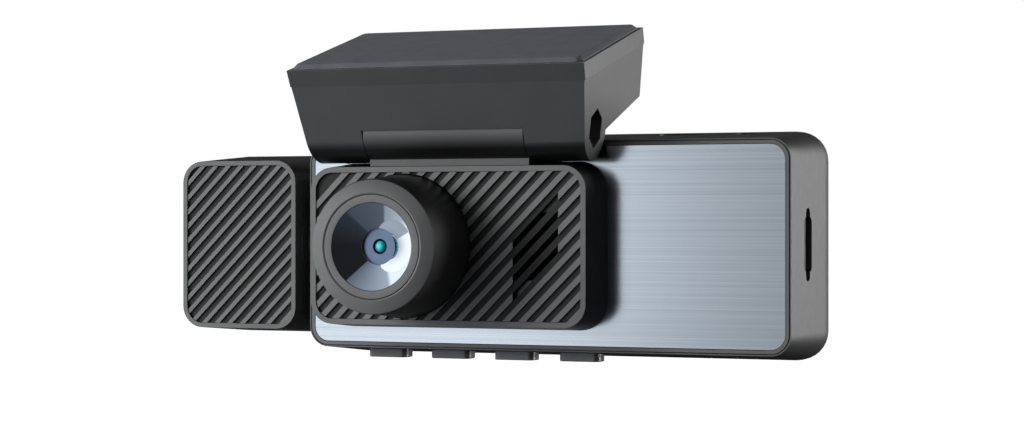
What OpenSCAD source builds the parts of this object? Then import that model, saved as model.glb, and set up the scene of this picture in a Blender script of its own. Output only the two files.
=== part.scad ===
// Dash camera with a windscreen bracket, a front lens module, a rear screen
// and a cabin camera that turns on the left end of the main body.
//
// Millimetres. +X is to the right seen from the front, +Y is towards the cabin
// and +Z is up. The origin is the middle of the adhesive pad's face, which lies
// against the windscreen and leans back by pad_tilt.

/* [Main body] */
// Width of the main body at its front edge
body_w = 107.2; // [105:0.1:110]
// Height of the main body at its front edge
body_h = 43.8; // [43:0.1:45]
// Depth of the side walls, from the front edge to the rear cover
body_d = 20; // [19.5:0.1:21]
// How far each side wall has moved out by the time it meets the rear cover
body_flare = 1.9; // [1.5:0.1:2.2]
// Corner radius at the front edge
body_r = 4.3; // [4:0.1:5]
// Wall thickness of the mouldings
wall = 1.8; // [1.6:0.1:2]
// Thickness of the rear cover behind the side walls
rear_cover_t = 4; // [3.8:0.1:4.5]

/* [Front frame and trim plate] */
// Width of the dark frame round the brushed plate, with its shadow groove
frame_ring = 1.2; // [1.1:0.1:1.5]
// Width of the shadow groove between the frame and the body shell
groove_w = 0.2; // [0.15:0.05:0.3]
// Depth of the shadow groove
groove_d = 0.5; // [0.3:0.1:0.8]
// Thickness of the front frame
frame_t = 2.6; // [2.4:0.1:3]
// Thickness of the brushed plate
plate_t = 0.8; // [0.6:0.1:1]

/* [Front lens module] */
// Width of the module's front
module_w = 61.9; // [60:0.1:63]
// Height of the module's front
module_h = 33; // [32.5:0.1:33.5]
// How far the module stands out of the trim plate
module_d = 10.3; // [10:0.1:11]
// Growth of each side of the module, front to back
module_flare = 0.94; // [0.5:0.02:1]
// Corner radius of the module's front
module_r = 4.9; // [4.5:0.1:5.2]
// Width of the raised rim round the ribbed panel
module_rim = 1.1; // [0.9:0.1:1.3]
// Height from one diagonal rib to the next, measured straight up
rib_pitch = 3.53; // [3.2:0.01:3.8]
// Share of the pitch that is rib, the rest being groove
rib_share = 0.47; // [0.4:0.01:0.6]
// Height of the ribs
rib_h = 0.4; // [0.3:0.1:0.6]

/* [Front lens] */
// Distance of the lens axis from the middle of the body
lens_x = -26.7; // [-28:0.1:-26]
// Radius of the lens barrel where it meets the ribs
barrel_base_r = 15; // [14.5:0.1:15]
// Radius of the lens barrel just behind its front edge
barrel_front_r = 13.7; // [13:0.1:13.9]
// How far the lens barrel stands in front of the body's front edge
barrel_reach = 25.8; // [25:0.1:27]
// Radius of the opening of the polished cone
cone_r = 8.9; // [8.5:0.1:9]
// Radius of the hole at the bottom of the polished cone
cone_hole_r = 3.75; // [3.7:0.05:3.9]
// Depth of the polished cone
cone_d = 3.4; // [3.2:0.1:3.8]

/* [Cabin camera] */
// Width of the cabin camera's front
cabin_w = 28; // [27:0.1:28.5]
// Height of the cabin camera's front
cabin_h = 36.8; // [36:0.1:37.5]
// Depth of its side walls
cabin_d = 21.5; // [21:0.1:22]
// Growth of each side, front to back
cabin_flare = 1.6; // [1.3:0.1:1.7]
// Corner radius of its front
cabin_r = 4.8; // [4.5:0.1:5.2]
// Height from one of its ribs to the next, measured straight up
cabin_rib_pitch = 3.18; // [3:0.01:3.3]
// Share of that pitch that is rib
cabin_rib_share = 0.4; // [0.38:0.01:0.5]
// Radius of the round boss between the two housings
pivot_boss_r = 6; // [5.8:0.1:6.2]
// Radius of the journal that turns in the bush
pivot_journal_r = 4; // [3.9:0.1:4.1]

/* [Windscreen bracket] */
// Angle of the pad to the level of the camera
pad_tilt = 15.2; // [15:0.1:15.4]
// Width of the bracket's top
bracket_w = 66.2; // [65:0.1:67]
// Thickness of the adhesive pad
pad_t = 1; // [0.8:0.1:1.2]
// Thickness of the bracket's cover
cover_t = 3.6; // [3.4:0.1:3.8]
// Radius of the hinge barrel, and of the knuckle that turns in its notch
hinge_barrel_r = 6.6; // [6.4:0.05:6.6]
// Width of the notch that the knuckle turns in
notch_w = 36.2; // [36:0.1:37]
// Size of the hexagon pocket across its flats
nut_pocket_af = 7.1; // [7.05:0.01:7.2]

/* [Buttons and card] */
// Distance from one button to the next
button_pitch = 14.8; // [14.5:0.1:15]
// Width of a button
button_w = 9.1; // [8.8:0.1:9.3]
// Depth of a button, front to back
button_depth = 4.5; // [4.2:0.1:4.8]
// Travel of a button
button_travel = 0.6; // [0.4:0.1:0.6]
// Length of the card slot
card_slot_l = 15; // [14:0.1:15.5]
// Width of the card slot
card_slot_w = 2.3; // [2:0.1:2.4]

/* [Hidden] */

housing = [0.24, 0.24, 0.24];
rib_grey = [0.36, 0.36, 0.36];
steel = [0.72, 0.73, 0.75];
board_green = [0.05, 0.3, 0.2];
chip_black = [0.1, 0.1, 0.11];

round_fn = 64;          // segments of a true round
corner_fn = 32;         // segments of a hull's corner circles
eps = 0.01;             // thickness of the slabs that a hull joins
over = 1;               // how far a cut runs past a face
fit_gap = 0.05;         // gap between parts that are fixed together
thread_gap = 0.05;      // gap between a screw and the hole it is driven into

// Middle of the body's front edge, in the row frame
body_at = [16.7, 0.5, -42.4];
// Hinge axis of the bracket
hinge_y = -6.15;
hinge_z = -18.4;

// Body outlines
body_back_w = body_w + 2 * body_flare;
body_back_h = body_h + 2 * body_flare;
body_back_r = body_r + body_flare;
lip_t = 0.25;                                   // lip of the shell outside the groove
seat_w = body_w - 2 * lip_t;
seat_h = body_h - 2 * lip_t;
seat_r = body_r - lip_t;
plate_w = body_w - 2 * frame_ring;
plate_h = body_h - 2 * frame_ring;
plate_r = body_r - frame_ring + 0.1;
plate_y = 0.1;                                  // front face of the trim plate
plate_back = plate_y + plate_t;
rear_y = body_d + rear_cover_t;

// Module
module_x = -17.2;
module_wall = 1.6;
module_top_slope = module_flare / module_d;
panel_back = -module_d + 2;                     // back of the ribbed panel
panel_base_t = 1.4;
rib_front = panel_back - panel_base_t - rib_h;
module_floor = panel_back + 1.4;                // back of the module's front wall
panel_w = module_w - 2 * module_rim;
panel_h = module_h - 2 * module_rim;
panel_r = module_r - module_rim;
spigot_w = 58;
spigot_h = 29;
spigot_r = 3;
// Where the line of the first slotted rib crosses the middle of the body
rib_phase = 2.49;
slot_left = -2.2;
slot_right = 7.75;
slot_count = 4;
speaker_x = (slot_left + slot_right) / 2;

// Lens
barrel_chamfer_d = 0.9;                         // depth of the broad chamfer round the ring
cone_front = -barrel_reach + 0.1;
cone_hole_y = cone_front + cone_d;
hub_r = 4;
hub_front = cone_hole_y + 0.75;
eye_r = 1.5;
ring_outer_r = 10.45;
ring_groove = 0.3;
holder_r = 5.6;
sensor_y = -2.6;                                // front of the sensor board

// Cabin camera
cabin_x = -72;
cabin_y = 1.5;
cabin_back_y = cabin_y + cabin_d;
cabin_back_w = cabin_w + 2 * cabin_flare;
cabin_back_h = cabin_h + 2 * cabin_flare;
cabin_wall = 1.6;
cabin_rim = 1;
cabin_panel_back = cabin_y + 2;
cabin_floor = cabin_panel_back + 1.4;
cabin_rear_t = 1.8;
cabin_rear_y = cabin_back_y + cabin_rear_t;
cabin_rib_phase = 0.94;
pivot_y = 12.5;
pivot_gap = 0.05;                               // end gap between boss and bush
pivot_boss_x = -56.1;                           // where the boss meets the bush
pivot_running = 0.04;                           // radial clearance of the journal
pivot_bush_r = 5.2;
pivot_pad_r = 6.4;                              // pad inside the wall round the bush
bush_seat_x = -54;                              // bottom of the bush's seat in the wall
cabin_lens_r = 6;

// Bracket, as points (y, z) of its side outline
pad_half = 18.7;                                // half the length of the bracket's top
pad_w = bracket_w - 1.4;
pad_l = 2 * pad_half - 1.4;
pad_r = 1.5;
pad_chamfer = 0.8;
function on_pad(s, n) = [s * cos(pad_tilt) - n * sin(pad_tilt), s * sin(pad_tilt) + n * cos(pad_tilt)];
seam_n = -pad_t - cover_t;
top_front = on_pad(-pad_half, -pad_t);
top_back = on_pad(pad_half, -pad_t);
seam_front = on_pad(-pad_half + 0.4, seam_n);
seam_back = on_pad(pad_half + 0.6, seam_n);
back_low = [21.3, -10.5];
// Half the bracket's width at a depth n, where draft is how fast its sides close in downwards
function bracket_half(n, draft) = bracket_w / 2 + draft * (n + pad_t);
shell_draft = 0.12;
cover_draft = 0.06;
bracket_cavity_half = 29.3;
cover_screw_at = [[-24, -13], [24, -13], [-24, 13.5], [24, 13.5]];
bolt_r = 2;
bolt_bore_r = 2.1;
bolt_head_r = 3.5;
bolt_head_l = 4;
nut_x = 20.5;                                   // bottom of the nut pocket
nut_t = 3.2;
bolt_head_x = -26.4;                            // bottom of the bolt head's counterbore
washer_r = 4.9;
washer_t = 1;
washer_seat = 0.9;
knuckle_half = notch_w / 2 - 0.15;
knuckle_clear = 0.4;                            // radial clearance of the knuckle in its notch
foot_front = -2.9;                              // front and back of the knuckle's foot, from the axis
foot_back = body_at[1] + plate_y - fit_gap - hinge_y;

// Fasteners that hold the camera together, as places (x, z) in the body
case_screw_at = [[-48.5, -16], [48.5, -16], [-48.5, 16], [48.5, 16]];
board_screw_at = [[-39, 15], [34, 15], [-39, -11], [33, -11]];
module_screw_at = [for (x = [-26, 26], z = [-11.5, 11.5]) [module_x + x, z]];
knuckle_screw_x = 11;
knuckle_screw_y = 3;                            // behind the hinge axis
knuckle_screw_drop = 1.6;                       // depth of their heads below the inside of the wall
cabin_screw_at = [[-10.5, -15.5], [10.5, 15.5]];
lamp_at = [for (x = [-8.6, 8.6], z = [-7, 7]) [x, z]];

// Boards
board_front = 10.9;
board_t = 1.2;
board_low = -14.6;
board_high = 18.5;
button_board_z = -16.4;
button_y = 9.75;
button_x0 = -38.8;
button_low = -24.4;
button_flange_z = -20.65;                       // underside of the flange that keeps a button in
button_flange_t = 1;
button_nub_top = button_flange_z + button_flange_t + 0.6;
switch_tip_z = button_nub_top + button_travel + fit_gap;

// Card
card_y = 9.6;
card_z = 0.4;
card_l = 15;
card_h = 11;
card_t = 1;
card_x = 38.9;
end_x = body_w / 2 + body_flare * card_y / body_d;

// Sockets in the top face
socket_y = 15;
usb_x = 26;
jack_x = 40;
jack_r = 1.3;
microphone_x = 38;

// Display
glass_w = 100;
glass_h = 40.6;
glass_r = 3;
lcd_w = 78;
lcd_h = 37;

// ---------- helpers ----------

module in_body() translate(body_at) children();
module in_cabin() in_body() translate([cabin_x, 0, 0]) children();
module in_lens() in_body() translate([lens_x, 0, 0]) children();
module at_hinge() translate([0, hinge_y, hinge_z]) children();
module on_pad_plane() rotate([pad_tilt, 0, 0]) children();

// Extrude an outline along an axis. The outline's own axes are (Y, Z), (X, Z) and (X, Y).
module along_x(x0, x1) translate([x0, 0, 0]) rotate([90, 0, 90]) linear_extrude(x1 - x0) children();
module along_y(y0, y1) translate([0, y1, 0]) rotate([90, 0, 0]) linear_extrude(y1 - y0) children();
module along_z(z0, z1) translate([0, 0, z0]) linear_extrude(z1 - z0) children();

module rod_x(x0, x1, r) along_x(x0, x1) circle(r, $fn = round_fn);
module rod_y(y0, y1, r) along_y(y0, y1) circle(r, $fn = round_fn);
module rod_z(z0, z1, r) along_z(z0, z1) circle(r, $fn = round_fn);

// A box from its low corner to its high corner
module box(low, high) translate(low) cube(high - low);

// A turned part on the Y axis, from an outline of points (radius, y)
module turned(points) rotate([-90, 0, 0]) rotate_extrude($fn = round_fn) polygon(points);

module rounded(w, h, r) {
    square([w - 2 * r, h], center = true);
    square([w, h - 2 * r], center = true);
    for (x = [-1, 1], z = [-1, 1])
        translate([x * (w / 2 - r), z * (h / 2 - r)]) circle(r, $fn = corner_fn);
}

// A rounded block that widens by flare on every side from y0 to y1
module drafted(w, h, r, y0, y1, flare) hull() {
    along_y(y0, y0 + eps) rounded(w, h, r);
    along_y(y1 - eps, y1) rounded(w + 2 * flare, h + 2 * flare, r + flare);
}

// A rounded block whose back edge is eased in two steps
module eased(w, h, r, y0, y1, ease) hull() {
    along_y(y0, y1 - ease) rounded(w, h, r);
    along_y(y1 - ease / 3, y1 - ease / 3 + eps) rounded(w - ease * 0.9, h - ease * 0.9, r - ease * 0.45);
    along_y(y1 - eps, y1) rounded(w - 2 * ease, h - 2 * ease, r - ease);
}

module at_each(places) for (p = places) translate([p[0], 0, p[1]]) children();

// A pan-head screw along Y with its head's face at y = 0 and its shank towards +Y
module screw_y(length, r, head_r, head_h) {
    difference() {
        rod_y(0, head_h, head_r);
        cross_slot(head_r, head_h);
    }
    rod_y(head_h, head_h + length, r);
}

module cross_slot(head_r, head_h) for (a = [0, 90]) rotate([0, a, 0])
    box([-head_r * 0.6, -over, -head_r * 0.12], [head_r * 0.6, head_h * 0.5, head_r * 0.12]);

// Diagonal bars that rise to the right at 45 degrees, as an outline in (X, Z)
module bars(w, h, pitch, share, phase) {
    n = ceil((w + h) / pitch / 2) + 1;
    for (i = [-n:n]) bar(w, phase + i * pitch, pitch * share);
}

module bar(w, c, t) polygon([
    [-w, -w + c - t / 2], [w, w + c - t / 2], [w, w + c + t / 2], [-w, -w + c + t / 2]
]);

// ---------- windscreen bracket ----------

module bracket_sides(draft) on_pad_plane() along_y(-40, 40) polygon([
    for (p = [[-1, -30], [1, -30], [1, 0], [-1, 0]]) [p[0] * bracket_half(p[1], draft), p[1]]
]);

module hinge_circle(r) translate([hinge_y, hinge_z]) circle(r, $fn = round_fn);

// Where the line down from p touches the front of the hinge barrel
function barrel_tangent(p) =
    let (v = [hinge_y, hinge_z] - p, length = sqrt(v * v - pow(hinge_barrel_r, 2)),
        a = atan2(v[1], v[0]) - asin(hinge_barrel_r / norm(v)))
    p + length * [cos(a), sin(a)];

module bracket_low_outline() {
    polygon([seam_front, barrel_tangent(seam_front), [hinge_y, hinge_z], [hinge_y + hinge_barrel_r, hinge_z],
        back_low, seam_back]);
    hinge_circle(hinge_barrel_r);
}

// The cavity stays clear of the notch below it
module bracket_cavity_outline() polygon([
    on_pad(-16.4, seam_n + over), [-14.1, -10], [1.2, -10], [2, -16], [19.2, -9.3],
    on_pad(17.4, seam_n + over)
]);

module bracket_shell() color(housing) difference() {
    union() {
        difference() {
            intersection() {
                along_x(-bracket_w, bracket_w) bracket_low_outline();
                bracket_sides(shell_draft);
            }
            along_x(-bracket_cavity_half, bracket_cavity_half) bracket_cavity_outline();
        }
        intersection() {
            on_pad_plane() for (p = cover_screw_at) translate([p[0], p[1], 0])
                rod_z(-20, seam_n, 2.8);
            along_x(-30, 30) bracket_low_outline();
        }
    }
    // Notch: round above the axis, open below it
    at_hinge() rod_x(-notch_w / 2, notch_w / 2, hinge_barrel_r + knuckle_clear);
    at_hinge() box([-notch_w / 2, -10, -10], [notch_w / 2, 12, 0]);
    at_hinge() rod_x(-bracket_w, bracket_w, bolt_bore_r);
    at_hinge() rod_x(-bracket_w, bolt_head_x, bolt_head_r + 0.2);
    at_hinge() hexagon(nut_x, bracket_w, nut_pocket_af);
    on_pad_plane() for (p = cover_screw_at) translate([p[0], p[1], 0])
        rod_z(seam_n - 6, seam_n + over, 1 + thread_gap);
}

// A hexagonal prism along X, with a corner on top
module hexagon(x0, x1, across_flats) translate([x0, 0, 0]) rotate([0, 90, 0])
    cylinder(h = x1 - x0, d = across_flats / cos(30), $fn = 6);

module bracket_cover() color(housing) difference() {
    intersection() {
        along_x(-bracket_w, bracket_w) polygon([seam_front, seam_back, top_back, top_front]);
        bracket_sides(cover_draft);
    }
    on_pad_plane() along_z(seam_n - over, -pad_t - 1.6) difference() {
        rounded(bracket_w - 2 * wall - 1, 2 * pad_half - 2 * wall - 1, 2);
        for (p = cover_screw_at) translate(p) circle(3.2, $fn = round_fn);
    }
    on_pad_plane() for (p = cover_screw_at) translate([p[0], p[1], 0]) {
        rod_z(seam_n - over, over, 1.15);
        rod_z(-pad_t - 1.2, over, 2.1);
    }
}

// Pad with a broad chamfer round its face
module adhesive_pad() color([0.33, 0.34, 0.36]) on_pad_plane() hull() {
    along_z(-pad_t, -pad_chamfer) rounded(pad_w, pad_l, pad_r);
    along_z(-eps, 0) rounded(pad_w - 2 * pad_chamfer, pad_l - 2 * pad_chamfer, pad_r - pad_chamfer / 2);
}

module cover_screws() color(steel) on_pad_plane() for (p = cover_screw_at)
    translate([p[0], p[1], -pad_t - 0.1]) rotate([-90, 0, 0]) screw_y(6.4, 1, 2, 1.1);

module hinge_bolt() color(steel) at_hinge() {
    difference() {
        rod_x(bolt_head_x - bolt_head_l, bolt_head_x, bolt_head_r);
        hexagon(bolt_head_x - bolt_head_l - over, bolt_head_x - 1.6, 3);
    }
    rod_x(bolt_head_x, nut_x + nut_t + 0.8, bolt_r);
}

module hinge_nut() color(steel) at_hinge() difference() {
    hexagon(nut_x + fit_gap, nut_x + nut_t, 7);
    rod_x(nut_x - over, nut_x + nut_t + over, bolt_r + thread_gap);
}

// ---------- tilt knuckle ----------

// Height of the drafted top of the lens module above the hinge axis, which the foot rests on
function module_top(y) = body_at[2] + module_h / 2 + module_flare
    + module_top_slope * (hinge_y + y - body_at[1]) - hinge_z;

module tilt_knuckle() color(housing) at_hinge() difference() {
    union() {
        rod_x(-knuckle_half, knuckle_half, hinge_barrel_r);
        along_x(-knuckle_half, knuckle_half) polygon([
            [foot_front, 0], [foot_front, module_top(foot_front)], [foot_back, module_top(foot_back)],
            [foot_back, module_top(foot_back) + 1.4], [4, -5], [3, 0]
        ]);
    }
    rod_x(-bracket_w, bracket_w, bolt_bore_r);
    for (s = [-1, 1]) translate([s * knuckle_half, 0, 0])
        rod_x(-washer_seat, washer_seat, washer_r + 0.1);
    for (x = [-1, 1]) translate([x * knuckle_screw_x, knuckle_screw_y, 0])
        rod_z(-9, -2.9, 1 + thread_gap);
}

// Screws that come up from inside the lens module into the knuckle
module knuckle_screws() color(steel) at_hinge() for (x = [-1, 1])
    translate([x * knuckle_screw_x, knuckle_screw_y, module_top(knuckle_screw_y) - module_wall
        - knuckle_screw_drop])
        rotate([90, 0, 0]) screw_y(5, 1, 1.9, 1.1);

module friction_washers() color([0.08, 0.08, 0.08]) at_hinge() for (s = [-1, 1]) difference() {
    translate([s * (knuckle_half - washer_seat + washer_t / 2), 0, 0])
        rod_x(-washer_t / 2, washer_t / 2, washer_r);
    rod_x(-bracket_w, bracket_w, bolt_bore_r + fit_gap);
}

// ---------- main body ----------

module body_shell() color(housing) in_body() difference() {
    union() {
        difference() {
            drafted(body_w, body_h, body_r, 0, body_d, body_flare);
            body_hollow();
            along_y(-over, frame_t) rounded(seat_w, seat_h, seat_r);
        }
        // Pad inside the left wall that carries the pivot bush
        translate([0, pivot_y, 0]) rod_x(-53.6, -50.4, pivot_pad_r);
    }
    translate([0, pivot_y, 0]) rod_x(-60, bush_seat_x, pivot_boss_r + fit_gap);
    translate([0, pivot_y, 0]) rod_x(-60, -40, pivot_bush_r + fit_gap);
    card_slot_cut();
    for (i = [0:3]) translate([button_x(i), button_y, 0])
        along_z(-30, -15) rounded(button_w + 0.4, button_depth + 0.4, 1.5);
    translate([usb_x, socket_y, 0]) along_z(15, 30) rounded(9.6, 3.9, 1.9);
    translate([jack_x, socket_y, 0]) rod_z(15, 30, jack_r + 0.75);
    translate([microphone_x, socket_y, 0]) rod_z(-30, -15, 0.6);
}

function button_x(i) = button_x0 + i * button_pitch;

// Inside of the side walls, run past both ends
module body_hollow() drafted(body_w - 2 * wall, body_h - 2 * wall, body_r - wall,
    0, body_d + over, body_flare * (body_d + over) / body_d);

// Slot for the card, with the wider and shorter finger recess round it
module card_slot_cut() translate([0, card_y, card_z]) {
    along_x(end_x - 8, end_x + 5) rounded(card_slot_w, card_slot_l, card_slot_w / 2 - eps);
    along_x(end_x - 1, end_x + 5) rounded(4.4, 11.2, 1.2);
}

module front_frame() color(housing) in_body() difference() {
    union() {
        along_y(0, frame_t) rounded(body_w - 2 * (lip_t + groove_w), body_h - 2 * (lip_t + groove_w),
            body_r - lip_t - groove_w);
        along_y(groove_d, frame_t) rounded(seat_w - 2 * fit_gap, seat_h - 2 * fit_gap, seat_r - fit_gap);
        at_each(board_screw_at) rod_y(frame_t - eps, board_front, 2.2);
        // Ledge under the button board
        box([-45.5, frame_t - eps, button_board_z - 1.2], [12.5, 5, button_board_z]);
    }
    along_y(-over, plate_back) rounded(plate_w + 0.1, plate_h + 0.1, plate_r);
    translate([module_x, 0, 0]) along_y(-over, frame_t + over) rounded(46, 20, 2);
    at_each(board_screw_at) rod_y(board_front - 5, board_front + over, 0.8 + thread_gap);
    at_each(case_screw_at) rod_y(-over, frame_t + over, 1.15);
    at_each(case_screw_at) rod_y(-over, plate_back + 1.1, 2.1);
    at_each(module_screw_at) rod_y(-over, frame_t + over, 1.15);
}

module trim_plate() color([0.7, 0.74, 0.79]) in_body() difference() {
    along_y(plate_y, plate_back) rounded(plate_w, plate_h, plate_r - fit_gap);
    translate([module_x, 0, 0]) along_y(-over, frame_t) rounded(spigot_w + 0.2, spigot_h + 0.2, spigot_r + 0.1);
}

module rear_cover() color(housing) in_body() difference() {
    union() {
        eased(body_back_w, body_back_h, body_back_r, body_d, rear_y, 1.5);
        along_y(body_d - 1, body_d + eps) difference() {
            rounded(body_back_w - 2 * wall - 0.6, body_back_h - 2 * wall - 0.6, body_back_r - wall);
            rounded(body_back_w - 2 * wall - 3, body_back_h - 2 * wall - 3, body_back_r - wall - 1);
        }
        at_each(case_screw_at) rod_y(frame_t + fit_gap, body_d + eps, 2.6);
    }
    along_y(rear_y - 1.1, rear_y + over) rounded(glass_w + 0.1, glass_h + 0.1, glass_r);
    along_y(body_d - 3, rear_y) rounded(lcd_w + 0.2, lcd_h + 0.2, 1);
    at_each(case_screw_at) rod_y(0, 14, 1 + thread_gap);
}

module screen_glass() color([0.05, 0.05, 0.06]) in_body()
    along_y(rear_y - 1.1, rear_y - 0.1) rounded(glass_w, glass_h, glass_r - fit_gap);

// Display with its backlight and metal frame
module lcd_panel() color([0.12, 0.12, 0.14]) in_body() difference() {
    along_y(body_d - 0.3, rear_y - 1.15) rounded(lcd_w, lcd_h, 0.8);
    along_y(rear_y - 1.35, rear_y) square([lcd_w - 5, lcd_h - 4], center = true);
}

module main_board() color(board_green) in_body() difference() {
    box([-43, board_front, board_low], [45.5, board_front + board_t, board_high]);
    at_each(board_screw_at) rod_y(board_front - over, board_front + 3, 1.1);
}

module board_screws() color(steel) in_body() at_each(board_screw_at)
    translate([0, board_front + board_t + 1, 0]) rotate([180, 0, 0]) screw_y(5.4, 0.8, 1.6, 1);

module image_processor() color(chip_black) in_body()
    box([-14, board_front - 1.2, -4], [0, board_front, 10]);

module memory_chips() color(chip_black) in_body() for (z = [-13, -2])
    box([4, board_front - 1, z], [13, board_front, z + 9.5]);

// Finned plate that carries heat from the processor to the front frame
module heat_spreader() color([0.75, 0.76, 0.78]) in_body() {
    box([-28, board_front - 3, -9], [3, board_front - 1.2 - fit_gap, 13]);
    for (i = [0:6]) box([-27 + i * 4.5, board_front - 5.5, -9], [-25.6 + i * 4.5, board_front - 3, 13]);
}

module backup_capacitors() color([0.12, 0.16, 0.4]) in_body() for (z = [-3.5, 5])
    translate([0, board_front - 4.1, z]) rod_x(15, 33, 4);

module microphone() color(steel) in_body() translate([microphone_x, socket_y, 0])
    rod_z(-21, -19.6, 2.4);

module card_socket() color(steel) in_body() difference() {
    box([card_x - 1.2, card_y - 0.95, card_z - 7], [52, board_front, card_z + 7]);
    box([card_x - 0.2, card_y - card_t / 2 - 0.15, card_z - card_h / 2 - 0.15],
        [60, card_y + card_t / 2 + 0.15, card_z + card_h / 2 + 0.15]);
}

// USB-C receptacle, mouth upwards
module usb_socket() color(steel) in_body() translate([usb_x, socket_y, 0]) {
    difference() {
        along_z(14.5, 22.3) rounded(8.94, 3.2, 1.59);
        along_z(15.5, 23) rounded(8.34, 2.56, 1.27);
    }
    box([-3.2, -0.35, 15], [3.2, 0.35, 21]);
}

// 2.5 mm jack for the lead of a rear camera, mouth upwards
module rear_camera_jack() color([0.1, 0.1, 0.1]) in_body() translate([jack_x, socket_y, 0]) difference() {
    union() {
        box([-3, -2.6, 10.5], [3, 2.6, 20.5]);
        rod_z(20, 22.6, jack_r + 0.65);
    }
    rod_z(12, 30, jack_r);
}

module case_screws() color(steel) in_body() at_each(case_screw_at)
    translate([0, plate_back, 0]) screw_y(10, 1, 2, 1.1);

// ---------- buttons ----------

module button(i) color(housing) in_body() translate([button_x(i), button_y, 0]) {
    along_z(button_low, button_flange_z + eps) rounded(button_w, button_depth, 1.3);
    along_z(button_flange_z, button_flange_z + button_flange_t) rounded(button_w + 2, button_depth + 1.6, 1.5);
    rod_z(button_flange_z, button_nub_top, 1.2);
}

module button_board() color(board_green) in_body()
    box([-45, 3, button_board_z], [12, 14, button_board_z + 1.2]);

module button_switches() color(chip_black) in_body() for (i = [0:3]) translate([button_x(i), button_y, 0]) {
    box([-2.6, -1.8, switch_tip_z + 0.6], [2.6, 1.8, button_board_z]);
    rod_z(switch_tip_z, switch_tip_z + 0.7, 1);
}

module memory_card() color([0.75, 0.75, 0.73]) in_body() {
    box([card_x, card_y - card_t / 2 + 0.15, card_z - card_h / 2],
        [card_x + card_l, card_y + card_t / 2 - 0.15, card_z + card_h / 2]);
    // Finger lip on the outer end
    box([card_x + card_l - 1.2, card_y - card_t / 2 - 0.1, card_z - card_h / 2],
        [card_x + card_l, card_y + card_t / 2, card_z + card_h / 2]);
}

// ---------- front lens module ----------

module module_shell() color(housing) in_body() difference() {
    union() {
        difference() {
            translate([module_x, 0, 0]) drafted(module_w, module_h, module_r,
                -module_d, plate_y - fit_gap, module_flare);
            translate([module_x, 0, 0]) drafted(module_w - 2 * module_wall, module_h - 2 * module_wall,
                module_r - module_wall, module_floor, over, module_flare);
        }
        // Spigot through the trim plate
        translate([module_x, 0, 0]) along_y(plate_y - fit_gap - eps, plate_back) difference() {
            rounded(spigot_w, spigot_h, spigot_r);
            rounded(spigot_w - 3, spigot_h - 3, spigot_r - 1);
        }
        at_each(module_screw_at) rod_y(module_floor - eps, plate_back, 2.6);
    }
    translate([module_x, 0, 0]) along_y(-module_d - over, panel_back) rounded(panel_w, panel_h, panel_r);
    translate([lens_x, 0, 0]) rod_y(-module_d - over, over, 8);
    translate([speaker_x, 0, 0]) along_y(-module_d - over, module_floor + over) rounded(12, 14, 2);
    at_each(module_screw_at) rod_y(-6, 2, 1 + thread_gap);
    for (x = [-1, 1]) translate([x * knuckle_screw_x - body_at[0], hinge_y + knuckle_screw_y - body_at[1], 0])
        rod_z(10, 20, 1.15);
}

module ribbed_panel() color(rib_grey) in_body() difference() {
    union() {
        translate([module_x, 0, 0]) along_y(panel_back - panel_base_t, panel_back)
            rounded(panel_w - 0.1, panel_h - 0.1, panel_r - fit_gap);
        along_y(rib_front, panel_back - panel_base_t + eps) intersection() {
            translate([module_x, 0]) rounded(panel_w - 0.1, panel_h - 0.1, panel_r - fit_gap);
            bars(module_w, module_h, rib_pitch, rib_share, rib_phase);
        }
    }
    translate([lens_x, 0, 0]) rod_y(-module_d - over, 0, barrel_base_r + 0.1);
    // The speaker's slots follow four of the ribs
    along_y(-module_d - over, 0) intersection() {
        translate([slot_left, -module_h]) square([slot_right - slot_left, 2 * module_h]);
        for (i = [0:slot_count - 1]) bar(module_w, rib_phase - i * rib_pitch, rib_pitch * rib_share);
    }
}

module module_screws() color(steel) in_body() at_each(module_screw_at)
    translate([0, frame_t + 1.1, 0]) rotate([180, 0, 0]) screw_y(7.5, 1, 2, 1.1);

module speaker() color(chip_black) in_body() translate([speaker_x, 0, 0]) difference() {
    along_y(module_floor + fit_gap, module_floor + 4) rounded(17, 17, 3);
    rod_y(module_floor, module_floor + 0.8, 6.5);
}

// Barrel: a slight cone with a broad shallow chamfer round the ring, and an eased edge outside that
module lens_barrel() color(housing) in_lens() turned([
    [11.6, panel_back], [barrel_base_r, panel_back],
    [barrel_front_r, -barrel_reach + barrel_chamfer_d + 0.3],
    [barrel_front_r - 0.25, -barrel_reach + barrel_chamfer_d],
    [ring_outer_r + ring_groove, -barrel_reach], [ring_outer_r + ring_groove, -barrel_reach + 2.2],
    [11.6, -barrel_reach + 2.2]
]);

module lens_ring() color(rib_grey) in_lens() turned([
    [cone_r + 0.1, -barrel_reach + 0.1], [ring_outer_r, -barrel_reach + 0.1],
    [ring_outer_r, -barrel_reach + 0.6], [ring_outer_r + ring_groove - fit_gap, -barrel_reach + 0.6],
    [ring_outer_r + ring_groove - fit_gap, -barrel_reach + 3], [cone_r + 0.1, -barrel_reach + 3]
]);

module polished_cone() color([0.8, 0.84, 0.9]) in_lens() turned([
    [cone_r, cone_front], [cone_hole_r, cone_hole_y], [cone_hole_r, cone_hole_y + 0.5],
    [cone_r, cone_hole_y + 0.5]
]);

// Threaded lens body with the pale front disc
module lens_hub() color([0.42, 0.48, 0.6]) in_lens() difference() {
    union() {
        rod_y(hub_front, -6, hub_r);
        rod_y(hub_front + 2, hub_front + 3.4, hub_r + 1.5);
    }
    rod_y(hub_front - over, hub_front + 1.6, eye_r + 0.05);
    rod_y(hub_front, 0, 1);
}

module front_lens() color([0.1, 0.6, 0.65]) in_lens() intersection() {
    translate([0, hub_front + 1.55, 0]) sphere(1.75, $fn = round_fn);
    rod_y(hub_front - 1, hub_front + 1.55, eye_r);
}

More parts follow.
